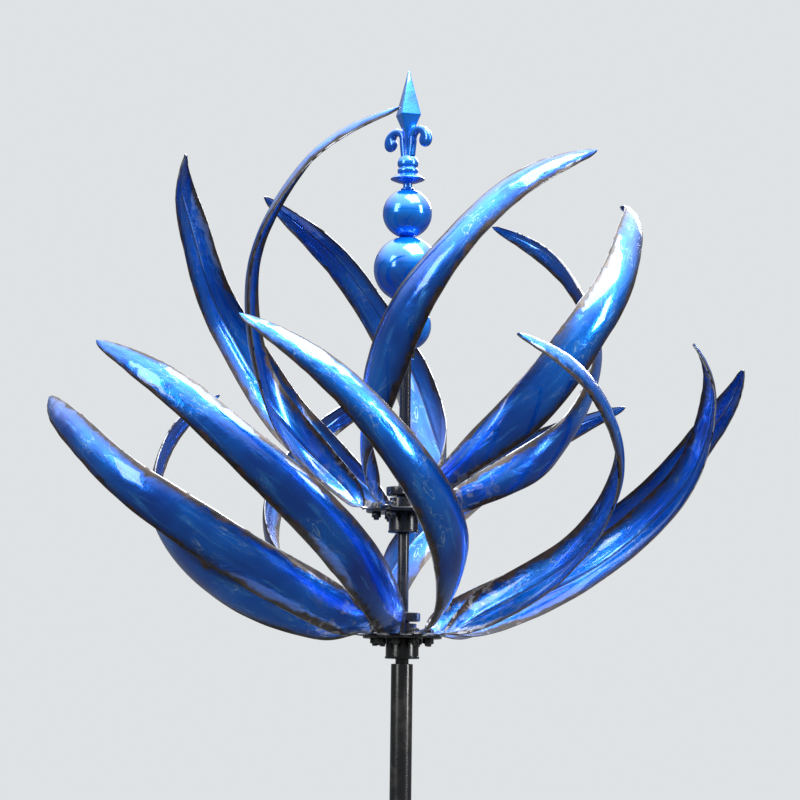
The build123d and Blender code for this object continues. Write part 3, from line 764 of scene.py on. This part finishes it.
def petal_fastenings(wheel):
    """Bolts with threaded ends, washers and nuts, heights from the hub plate's middle."""
    name = wheel["name"]
    body = f"{name}_wheel"
    places = bolt_places(wheel)
    tab_top = wheel["rise"][0] + SHEET / 2
    head = tab_top + WASHER
    nut_bottom = -PLATE / 2 - NUT
    corner_r = BOLT_ACROSS_FLATS / 2 * FLAT_CORNER
    chamfer_r = CHAMFER_SHARE * BOLT_ACROSS_FLATS / 2
    tail_end = nut_bottom - BOLT_TAIL
    head_top = head + BOLT_HEAD
    bolt_outline = [(0, tail_end), (BOLT_R - 0.6, tail_end)]
    bolt_outline += thread_outline(BOLT_R, tail_end + 0.3, nut_bottom)
    bolt_outline += [
        (BOLT_R, nut_bottom), (BOLT_R, head), (corner_r, head), (corner_r, head_top - CHAMFER),
        (chamfer_r, head_top), (0.55 * chamfer_r, head_top),
        (0.5 * chamfer_r, head_top - 0.2), (0, head_top - 0.2)]
    bolt_shape = turned(bolt_outline, 48, BOLT_ACROSS_FLATS)
    bolts = gathered(f"{name}_bolts", bolt_shape, places, BLACK, HEX_CRISP)
    settle(bolts, body, "black_coat", f"{name}_petal_bolts")

    washer_outline = [(BOLT_R, tab_top), (WASHER_R, tab_top), (WASHER_R, head), (BOLT_R, head)]
    washer_shape = turned(rounded(washer_outline, 0.25), 48)
    washers = gathered(f"{name}_washers", washer_shape, places, BLACK)
    settle(washers, body, "black_coat", f"{name}_petal_washers")

    nut_top = -PLATE / 2
    nut_outline = [
        (BOLT_R, nut_bottom), (chamfer_r, nut_bottom), (corner_r, nut_bottom + CHAMFER),
        (corner_r, nut_top - CHAMFER), (chamfer_r, nut_top), (BOLT_R, nut_top)]
    nut_shape = turned(nut_outline, 48, BOLT_ACROSS_FLATS)
    nuts = gathered(f"{name}_nuts", nut_shape, places, BLACK, HEX_CRISP)
    settle(nuts, body, "black_coat", f"{name}_petal_nuts")


# --- ornament, heights measured from the lower hub plate's middle -----------------
BALL_RADII = (22.2, 29.2, 21.8)
BALL_WALL = 1.2
BALL_HOLE_R = ROD_R + 0.1
BALL_STACK_BOTTOM = 252.4
SEAT_NUT = 8.0
SEAT_NUT_ACROSS_FLATS = 16.0
SEAT_NUT_CHAMFER = 1.2
BALL_STEPS = 64
SEAM_DEPTH, SEAM_HALF = 0.12, 0.5
SAUCER_R, SAUCER_BOTTOM, SAUCER_TOP = 15.5, 402.0, 410.0
RING_R, RING_BASE_TOP = 9.2, 426.0
NECK_R = 4.0
FLANGE_R, FLANGE = 6.2, 1.0
STUD_R, STUD_DEPTH = 2.5, 14.0
ROD_TOP = 392.0
# (radius less the ring radius, share of the height) up the two bead rings.
RING_PROFILE = (
    (-0.6, 0.0), (0.0, 0.10), (0.0, 0.24), (-1.8, 0.34), (0.0, 0.44), (0.1, 0.66), (-1.2, 0.86),
    (-3.4, 1.0),
)
# (height, side of the square) up the spear.
SPEAR_LEVELS = (
    (426.0, 6.3), (446.2, 6.95), (447.2, 7.3), (462.0, 17.3), (462.7, 17.8), (463.0, 17.95),
    (463.4, 17.8), (464.4, 17.4), (501.6, 1.9), (502.6, 1.3), (503.0, 0.6),
)
SPEAR_AZIMUTH = -72.0
SCROLL_AZIMUTH = -42.0
SCROLL_HALF, SCROLL_HALF_WIDTH, SCROLL_END_R = 3.1, 3.7, 6.4
SCROLL_FOOT, SCROLL_SHOULDER = (3.6, 0.0), (5.4, 14.0)      # (radius, height) over the rings
SCROLL_ARC_CENTRE, SCROLL_ARC_R = (13.1, 14.9), 7.9
SCROLL_ARC_FROM, SCROLL_ARC_TO = 186.0, -18.0
SCROLL_FOOT_STEPS, SCROLL_ARC_STEPS, SCROLL_END_STEPS = 12, 40, 16
SCROLL_SWELL = 13.0          # length over which the bar swells to its round end
SCROLL_AROUND = 28
SCROLL_LEAST_HALF = 0.2      # half size of the bar's very end


def ball_outline(radius):
    """Half section of a hollow ball with a hole at each pole and a seam at its middle."""
    hole = sqrt(radius ** 2 - BALL_HOLE_R ** 2)
    inner_r = radius - BALL_WALL
    inner_hole = sqrt(inner_r ** 2 - BALL_HOLE_R ** 2)
    outside, inside = [], []
    for k in range(BALL_STEPS + 1):
        z = -cos(pi * k / BALL_STEPS)
        seam = SEAM_DEPTH * max(1 - abs(z) * radius / SEAM_HALF, 0.0)
        outside.append((sqrt(radius ** 2 - (hole * z) ** 2) - seam, hole * z))
        inside.append((sqrt(inner_r ** 2 - (inner_hole * z) ** 2), inner_hole * z))
    return outside + inside[::-1]


def balls():
    """The seat nut and three balls stacked where the rod's holes cut them."""
    base = LOWER_WHEEL["z"]
    seat = BALL_STACK_BOTTOM
    corner_r = FLAT_CORNER * SEAT_NUT_ACROSS_FLATS / 2
    chamfer_r = CHAMFER_SHARE * SEAT_NUT_ACROSS_FLATS / 2
    bottom = seat - SEAT_NUT
    outline = [
        (ROD_R, bottom), (chamfer_r, bottom), (corner_r, bottom + SEAT_NUT_CHAMFER),
        (corner_r, seat - SEAT_NUT_CHAMFER), (chamfer_r, seat), (ROD_R, seat)]
    nut_shape = turned(outline, 96, SEAT_NUT_ACROSS_FLATS)
    nut = gathered("seat_nut", nut_shape, [at(base)], BLACK, HEX_CRISP)
    settle(nut, "pole", "black_coat", "ball_seat_nut")
    for label, radius in zip(("lower", "middle", "upper"), BALL_RADII):
        half_height = sqrt(radius ** 2 - BALL_HOLE_R ** 2)
        shape = turned(ball_outline(radius), 128)
        ball = gathered(f"{label}_ball", shape, [at(base + seat + half_height)], ENAMEL)
        settle(ball, "pole", "ornament_lacquer", f"ball_{label}")
        seat += 2 * half_height
    return seat


def saucer(base, ball_top):
    """Stud in the rod's end, flange on the top ball, neck and saucer."""
    stud = ROD_TOP - STUD_DEPTH
    outline = [
        (0, stud), (STUD_R, stud), (STUD_R, ball_top), (FLANGE_R, ball_top),
        (FLANGE_R, ball_top + FLANGE), (NECK_R, ball_top + 2 * FLANGE),
        (NECK_R, SAUCER_BOTTOM - 0.6),
        (0.55 * SAUCER_R, SAUCER_BOTTOM), (SAUCER_R - 0.8, SAUCER_BOTTOM + 2.4),
        (SAUCER_R, SAUCER_BOTTOM + 3.2), (SAUCER_R - 0.8, SAUCER_BOTTOM + 4.0),
        (0.75 * SAUCER_R, SAUCER_BOTTOM + 5.8), (RING_R - 0.6, SAUCER_TOP), (0, SAUCER_TOP)]
    shape = turned(rounded(outline, 0.6, closed=False))
    piece = gathered("saucer", shape, [base], ENAMEL)
    settle(piece, "pole", "ornament_lacquer", "finial_saucer")


def rings(base):
    height = RING_BASE_TOP - SAUCER_TOP
    outline = [(0, SAUCER_TOP)]
    outline += [(RING_R + more, SAUCER_TOP + share * height) for more, share in RING_PROFILE]
    outline.append((0, RING_BASE_TOP))
    shape = turned(rounded(outline, 1.2, closed=False, steps=5))
    piece = gathered("rings", shape, [base], ENAMEL)
    settle(piece, "pole", "ornament_lacquer", "finial_rings")


def spear(base):
    """Four-sided spear with slightly rounded corners."""
    vertices = []
    for z, side in SPEAR_LEVELS:
        half = side / 2
        square = [(-half, -half), (half, -half), (half, half), (-half, half)]
        vertices += [(p.x, p.y, z) for p in rounded(square, min(0.7, 0.3 * side))]
    count = len(vertices) // len(SPEAR_LEVELS)
    faces = [face[::-1] for face in tube_faces(len(SPEAR_LEVELS), count)]
    piece = gathered("spear", (vertices, faces), [base @ at(0, SPEAR_AZIMUTH)], ENAMEL, 25)
    settle(piece, "pole", "ornament_lacquer", "finial_spear")


def finial(ball_top):
    base = at(LOWER_WHEEL["z"])
    saucer(base, ball_top)
    rings(base)
    spear(base)
    for label, azimuth in (("right", SCROLL_AZIMUTH), ("left", SCROLL_AZIMUTH + 180)):
        place = base @ at(RING_BASE_TOP, azimuth)
        scroll = gathered(f"scroll_{label}", scroll_shape(), [place], ENAMEL, 60)
        settle(scroll, "pole", "ornament_lacquer", f"finial_scroll_{label}")


def scroll_line():
    """(radius, height) points of a bar that rises, then rolls over outwards and down."""
    foot, shoulder = Vector(SCROLL_FOOT), Vector(SCROLL_SHOULDER)
    points = [foot.lerp(shoulder, k / SCROLL_FOOT_STEPS) for k in range(SCROLL_FOOT_STEPS)]
    for k in range(SCROLL_ARC_STEPS + 1):
        turn = (SCROLL_ARC_TO - SCROLL_ARC_FROM) * k / SCROLL_ARC_STEPS
        angle = radians(SCROLL_ARC_FROM + turn)
        points.append(Vector(SCROLL_ARC_CENTRE) + Vector((cos(angle), sin(angle))) * SCROLL_ARC_R)
    end = points[-1]
    heading = (end - points[-2]).normalized()
    return points + [end + heading * (SCROLL_END_R * k / SCROLL_END_STEPS)
                     for k in range(1, SCROLL_END_STEPS + 1)]


def scroll_shape():
    """The rolled bar, swelling to a round end like a drop."""
    points = scroll_line()
    lengths = [0.0]
    for a, b in zip(points, points[1:]):
        lengths.append(lengths[-1] + (b - a).length)
    end_at = lengths[-1] - SCROLL_END_R
    swell_from = end_at - SCROLL_SWELL
    vertices = []
    for k, point in enumerate(points):
        heading = (points[min(k + 1, len(points) - 1)] - points[max(k - 1, 0)]).normalized()
        side = Vector((-heading.y, heading.x))
        swell = ease((lengths[k] - swell_from) / (end_at - swell_from))
        cap = sqrt(max(1 - (max(lengths[k] - end_at, 0.0) / SCROLL_END_R) ** 2, 0.0))
        half = (SCROLL_HALF + (SCROLL_END_R - SCROLL_HALF) * swell) * cap
        half = max(half, SCROLL_LEAST_HALF)
        wide = max(SCROLL_HALF_WIDTH * cap, SCROLL_LEAST_HALF)
        for j in range(SCROLL_AROUND):
            angle = 2 * pi * j / SCROLL_AROUND
            spot = point + side * (half * squared(cos(angle)))
            vertices.append((spot.x, wide * squared(sin(angle)), max(spot.y, 0.0)))
    return vertices, tube_faces(len(points), SCROLL_AROUND)


def squared(share, power=0.72):
    """Draws a circle's sine or cosine out towards a rounded square."""
    return abs(share) ** power * (1 if share >= 0 else -1)


def tube_faces(rows, around):
    """Faces of a closed bar whose rows run along it, with an end face at each end."""
    faces = []
    for i in range(rows - 1):
        a, b = i * around, (i + 1) * around
        for j in range(around):
            n = (j + 1) % around
            faces.append((a + j, b + j, b + n, a + n))
    last = (rows - 1) * around
    return faces + [tuple(range(around)), tuple(last + j for j in reversed(range(around)))]


# --- rod and pole ----------------------------------------------------------------
TUBE_TOP = LOWER_WHEEL["z"] - 23.6
TUBE_BOUNDS = (4.0, 475.0, 940.0, TUBE_TOP)
JOINT_GAP = 0.4
SLEEVE_LENGTH = 110.0
PLUG_LENGTH = 60.0
SOCKET_TOP = 75.0
SOCKET_WALL = 2.5
SOCKET_R = TUBE_R + 0.1
SOCKET_SCREW_Z = 55.0
SCREW_SIDE = 90.0
SCREW_R = 2.0
SCREW_HEAD_R = 3.6
SCREW_HEAD = 2.2
CLIP_GROOVE_R, CLIP_GROOVE = 4.6, 1.0
SPACER_R = 5.8
STUD_HOLE = 16.0


def screw_stations():
    """(height, radius under the head, radius at the screw's end)."""
    bore_r = TUBE_R - TUBE_WALL
    stations = [(SOCKET_SCREW_Z, SOCKET_R + SOCKET_WALL, bore_r),
                (TUBE_TOP - PLUG_LENGTH / 2, TUBE_R, ROD_R)]
    for joint in TUBE_BOUNDS[1:3]:
        for side in (-1, 1):
            stations.append((joint + side * SLEEVE_LENGTH / 4, TUBE_R, bore_r - 1.6))
    return stations


def rod_and_spacer():
    """The rod, with the groove of its snap ring and the finial's hole, and the spacer."""
    rod_bottom = TUBE_TOP - PLUG_LENGTH
    groove = UPPER_WHEEL["z"] + HOUSING_BOTTOM + POCKET_RECESS - CLIP_GROOVE
    groove_top = groove + CLIP_GROOVE
    rod_top = LOWER_WHEEL["z"] + ROD_TOP
    rod_outline = [
        (0, rod_bottom), (ROD_R, rod_bottom), (ROD_R, groove), (CLIP_GROOVE_R, groove),
        (CLIP_GROOVE_R, groove_top), (ROD_R, groove_top), (ROD_R, rod_top), (STUD_R, rod_top),
        (STUD_R, rod_top - STUD_HOLE), (0, rod_top - STUD_HOLE)]
    rod = gathered("rod_bar", turned(rounded(rod_outline, 0.3, closed=False), 64), [at()], BLACK)
    settle(rod, "pole", "black_coat", "rod")

    low = LOWER_WHEEL["z"] + HOUSING_BOTTOM + POCKET_RECESS
    spacer_outline = [(ROD_R, TUBE_TOP), (SPACER_R, TUBE_TOP), (SPACER_R, low), (ROD_R, low)]
    spacer = gathered("spacer", turned(rounded(spacer_outline, 0.3), 64), [at()], BLACK)
    settle(spacer, "pole", "black_coat", "lower_spacer")


def tubes():
    """Three tubes with rolled rims, drilled where the cross screws go in."""
    bore_r = TUBE_R - TUBE_WALL
    for k, label in enumerate(("lower", "middle", "upper")):
        bottom = TUBE_BOUNDS[k] + (JOINT_GAP if k else 0.0)
        top = TUBE_BOUNDS[k + 1]
        outline = [(bore_r, bottom), (TUBE_R, bottom), (TUBE_R, top), (bore_r, top)]
        tube = gathered(f"tube_{label}", turned(rounded(outline, 0.6)), [at()], BLACK)
        holes = [sideways(z, SCREW_SIDE) @ at(TUBE_R)
                 for z, _, _ in screw_stations() if bottom < z < top]
        drilled(tube, SCREW_R, holes, 2 * TUBE_WALL + 2)
        settle(tube, "pole", "black_coat", f"pole_{label}")


def screw_outline(outer_r, inner_r):
    """A screw with a domed, recessed head, its height measured out from the pole's axis."""
    top = outer_r + SCREW_HEAD
    return [
        (0, inner_r), (SCREW_R - 0.3, inner_r), (SCREW_R, inner_r + 0.4), (SCREW_R, outer_r),
        (SCREW_HEAD_R, outer_r), (SCREW_HEAD_R, outer_r + 0.8), (0.8 * SCREW_HEAD_R, top - 0.4),
        (0.5 * SCREW_HEAD_R, top), (1.1, top), (1.0, top - 1.2), (0, top - 1.3)]


def cross_screws():
    """The pole's screws, each as long as its station asks, as one object."""
    placed_shapes = []
    for z, outer_r, inner_r in screw_stations():
        outline = rounded(screw_outline(outer_r, inner_r), 0.3, closed=False)
        placed_shapes.append((sideways(z, SCREW_SIDE), turned(outline, 48)))
    screws = gathered("cross_screws", merged(placed_shapes), [at()], BLACK)
    settle(screws, "pole", "black_coat", "pole_screws")


# --- ground stake ----------------------------------------------------------------
PRONG_DEPTH = 200.0
PRONG_R = 4.0
PRONG_REACH = 80.0
PRONG_POINT = 22.0
PRONG_BEND_R = 16.0
PRONG_BEND_STEPS, PRONG_POINT_STEPS = 12, 8
PRONG_AROUND = 32
WELD_FLARE = ((0.0, 1.6), (1.5, 1.4), (2.6, 0.5), (4.0, 0.1))      # (along, extra radius)
SPIKE_R, SPIKE_DEPTH, SPIKE_POINT = 8.0, 180.0, 26.0
SPIKE_POINT_STEPS = 8
POINT_R = 0.6                # the blunt ends of the prongs and the spike


def prong_rows():
    """(point, heading, radius) along a round bar that bends down to a forged point."""
    bend_start = PRONG_REACH - PRONG_BEND_R
    weld = SOCKET_R + SOCKET_WALL
    rows = [(Vector((weld - 1.5 + s, 0, PRONG_R)), 0.0, PRONG_R + flare) for s, flare in WELD_FLARE]
    rows.append((Vector((bend_start, 0, PRONG_R)), 0.0, PRONG_R))
    for k in range(1, PRONG_BEND_STEPS + 1):
        angle = pi / 2 * k / PRONG_BEND_STEPS
        rows.append((Vector((bend_start + PRONG_BEND_R * sin(angle), 0,
                             PRONG_R - PRONG_BEND_R * (1 - cos(angle)))), angle, PRONG_R))
    foot = -PRONG_DEPTH + PRONG_POINT
    rows.append((Vector((PRONG_REACH, 0, foot)), pi / 2, PRONG_R))
    for k in range(1, PRONG_POINT_STEPS + 1):
        share = k / PRONG_POINT_STEPS
        rows.append((Vector((PRONG_REACH, 0, foot - PRONG_POINT * share)), pi / 2,
                     PRONG_R + (POINT_R - PRONG_R) * share ** 1.25))
    return rows


def prong_shape():
    vertices = []
    rows = prong_rows()
    for point, angle, radius in rows:
        up = Vector((sin(angle), 0, cos(angle)))
        for j in range(PRONG_AROUND):
            turn = 2 * pi * j / PRONG_AROUND
            vertices.append(point + up * (radius * cos(turn)) + Vector((0, radius * sin(turn), 0)))
    return vertices, tube_faces(len(rows), PRONG_AROUND)


def stake():
    """Socket, four prongs and the central spike, its shoulder at ground level."""
    outer_r = SOCKET_R + SOCKET_WALL
    floor_z = TUBE_BOUNDS[0]
    socket_outline = [(0, 0), (outer_r, 0), (outer_r, SOCKET_TOP), (SOCKET_R, SOCKET_TOP),
                      (SOCKET_R, floor_z), (0, floor_z)]
    socket = gathered("socket", turned(rounded(socket_outline, 0.8, closed=False)), [at()], STAKE)
    screw_hole = sideways(SOCKET_SCREW_Z, SCREW_SIDE) @ at(outer_r)
    drilled(socket, SCREW_R, [screw_hole], 2 * SOCKET_WALL + 1)
    settle(socket, "pole", "black_coat", "stake_socket")

    places = [at(0, 45 + 90 * k) for k in range(4)]
    prongs = gathered("prongs", prong_shape(), places, STAKE, 60)
    settle(prongs, "pole", "black_coat", "stake_prongs")

    point_top = SPIKE_POINT - SPIKE_DEPTH
    spike_outline = [(0, -SPIKE_DEPTH), (POINT_R, -SPIKE_DEPTH)]
    for k in range(1, SPIKE_POINT_STEPS):
        share = k / SPIKE_POINT_STEPS
        spike_outline.append((POINT_R + (SPIKE_R - POINT_R) * share ** 0.85,
                              -SPIKE_DEPTH + SPIKE_POINT * share))
    spike_outline += [(SPIKE_R, point_top), (SPIKE_R, 0), (0, 0)]
    spike = gathered("spike", turned(spike_outline, 64), [at()], STAKE, 50)
    settle(spike, "pole", "black_coat", "stake_spike")


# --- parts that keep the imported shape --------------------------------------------
def finish_inner_parts():
    """Materials for the nodes that no piece stands for: they are the ones still shown."""
    for name, node in frame["nodes"].items():
        if node.hide_render:
            continue
        bright = any(word in name for word in ("race", "bearing", "circlip"))
        for spot in range(len(node.data.materials)):
            node.data.materials[spot] = STEEL if bright else BLACK


# --- studio ----------------------------------------------------------------------
CAMERA_DISTANCE = 2.677      # metres, from the lower hub
CAMERA_OFFSET = Vector((-0.0020, -CAMERA_DISTANCE, -0.0918))
CAMERA_PITCH = 6.391         # degrees above level
CAMERA_ROLL = -0.69
SENSOR, LENS = 36.0, 137.6775           # millimetres
FLOOR_R = 0.9                # metres, small so that the petals don't mirror it all over
FLOOR_SIDES = 128
SKY_GLOW = (0.20, 0.95, 0.16, 2.9)      # sine of the elevation from and to, strength from and to
BACKDROP_GLOW = 0.78
BACKDROP_TINT = (0.95, 0.98, 1.0, 1)
LIGHT_TARGET = (0, 0, 1.55)
# Name, place in metres, size in metres, watts and colour.
LIGHTS = (
    ("overhead", (0.9, -0.7, 4.3), (2.2, 2.2), 210, (0.96, 0.98, 1.0)),
    ("key", (-3.2, -2.6, 3.4), (1.6, 2.4), 75, (1, 1, 1)),
    ("side", (3.6, -1.4, 2.9), (0.8, 2.0), 75, (1, 1, 1)),
    ("back", (0.8, 3.6, 3.2), (2.0, 0.9), 75, (1, 1, 1)),
)


def camera():
    """The photo's angle: a little below the lower hub, looking up at the wheels."""
    data = bpy.data.cameras.new("camera")
    data.sensor_width = SENSOR
    data.lens = LENS
    eye = bpy.data.objects.new("camera", data)
    bpy.context.scene.collection.objects.link(eye)
    hub_point = Vector((0, 0, LOWER_WHEEL["z"] * MM))
    tilt = Matrix.Rotation(radians(CAMERA_ROLL), 4, "Y")
    pose = Matrix.Translation(CAMERA_OFFSET) @ Matrix.Rotation(radians(90 + CAMERA_PITCH), 4, "X")
    eye.matrix_world = Matrix.Translation(hub_point) @ tilt @ pose
    bpy.context.scene.camera = eye


def area_light(name, location, size, power, colour):
    """A rectangular light that faces the wheels."""
    data = bpy.data.lights.new(name, "AREA")
    data.shape = "RECTANGLE"
    data.size, data.size_y = size
    data.energy = power
    data.color = colour
    lamp = bpy.data.objects.new(name, data)
    bpy.context.scene.collection.objects.link(lamp)
    lamp.location = location
    aim = Vector(LIGHT_TARGET) - Vector(location)
    lamp.rotation_euler = aim.to_track_quat("-Z", "Y").to_euler()


def lay_floor():
    """A round floor at the stake's tip."""
    floor_z = cad_box[0][2]
    mesh = bpy.data.meshes.new("floor")
    turns = [2 * pi * k / FLOOR_SIDES for k in range(FLOOR_SIDES)]
    edge = [(FLOOR_R * cos(turn), FLOOR_R * sin(turn), floor_z) for turn in turns]
    mesh.from_pydata(edge, [], [tuple(range(FLOOR_SIDES))])
    mesh.materials.append(pale_floor())
    floor = bpy.data.objects.new("floor", mesh)
    bpy.context.scene.collection.objects.link(floor)


def surroundings():
    """A glow, dim at the sides and bright overhead, that lights the object and shows in
    its gloss. Looked at straight, the backdrop is evenly pale instead."""
    world = bpy.data.worlds.new("studio")
    world.use_nodes = True
    bpy.context.scene.world = world
    nodes, links = world.node_tree.nodes, world.node_tree.links
    background = nodes["Background"]
    axes = nodes.new("ShaderNodeSeparateXYZ")
    links.new(nodes.new("ShaderNodeTexCoord").outputs["Generated"], axes.inputs[0])
    glow = nodes.new("ShaderNodeMapRange")
    glow.interpolation_type = "SMOOTHSTEP"
    links.new(axes.outputs["Z"], glow.inputs["Value"])
    for socket, value in zip(("From Min", "From Max", "To Min", "To Max"), SKY_GLOW):
        glow.inputs[socket].default_value = value
    seen = nodes.new("ShaderNodeMix")
    links.new(nodes.new("ShaderNodeLightPath").outputs["Is Camera Ray"], seen.inputs[0])
    links.new(glow.outputs[0], seen.inputs[2])
    seen.inputs[3].default_value = BACKDROP_GLOW
    links.new(seen.outputs[0], background.inputs["Strength"])
    background.inputs["Color"].default_value = BACKDROP_TINT


def studio():
    lay_floor()
    surroundings()
    for name, location, size, power, colour in LIGHTS:
        area_light(name, location, size, power, colour)
    bpy.context.scene.view_settings.view_transform = "Standard"


camera()
for wheel in (LOWER_WHEEL, UPPER_WHEEL):
    for number in range(len(wheel["settings"])):
        petal(wheel, number)
    hub(wheel)
    petal_fastenings(wheel)
finial(balls())
rod_and_spacer()
tubes()
cross_screws()
stake()
finish_inner_parts()
studio()
